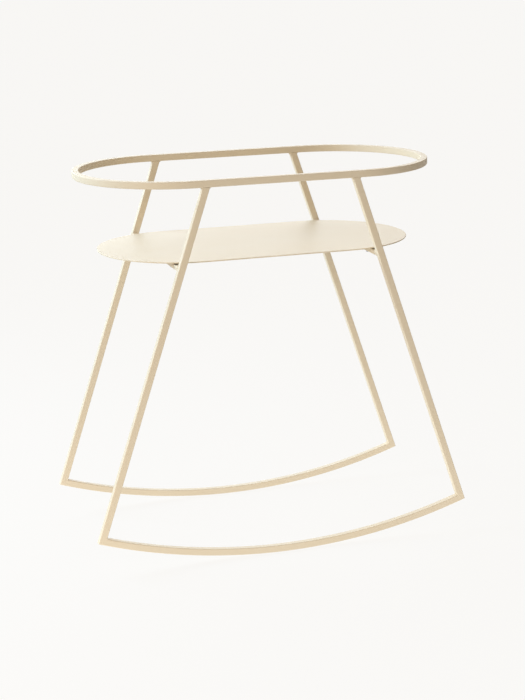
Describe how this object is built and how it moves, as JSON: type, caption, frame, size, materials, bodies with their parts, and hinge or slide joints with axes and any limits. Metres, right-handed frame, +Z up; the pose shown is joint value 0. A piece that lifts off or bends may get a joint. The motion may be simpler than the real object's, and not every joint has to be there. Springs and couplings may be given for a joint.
{
  "type": "rocking basket stand",
  "caption": "Rocking stand for a Moses basket: an oblong square-tube hoop on splayed legs, curved rockers below, and a thin oblong tray that the basket stands on.",
  "frame": {"origin": "on the floor, below the middle of the stand, where both rockers touch the floor at mid length", "axes": "+X along the stand's length towards the right-hand legs, +Y from the front rocker to the rear rocker, +Z up"},
  "size_m": [0.8488, 0.435, 0.8349],
  "materials": {
    "powder_coat": "matt cream powder coat with a very fine texture",
    "black_rubber": "matt moulded rubber",
    "zinc_steel": "zinc plated"
  },
  "bodies": {
    "root": {"hoop_left_half": "powder_coat", "hoop_right_half": "powder_coat", "front_left_leg": "powder_coat", "front_right_leg": "powder_coat", "rear_left_leg": "powder_coat", "rear_right_leg": "powder_coat", "front_rocker": "powder_coat", "rear_rocker": "powder_coat", "left_crossbar": "powder_coat", "right_crossbar": "powder_coat", "tray_plate": "powder_coat", "hoop_welds": "powder_coat", "crossbar_welds": "powder_coat", "bumper_pads": "black_rubber", "stud_spacers": "black_rubber", "tray_studs": "zinc_steel", "stud_washers": "zinc_steel", "stud_nuts": "zinc_steel"}
  },
  "joints": []
}
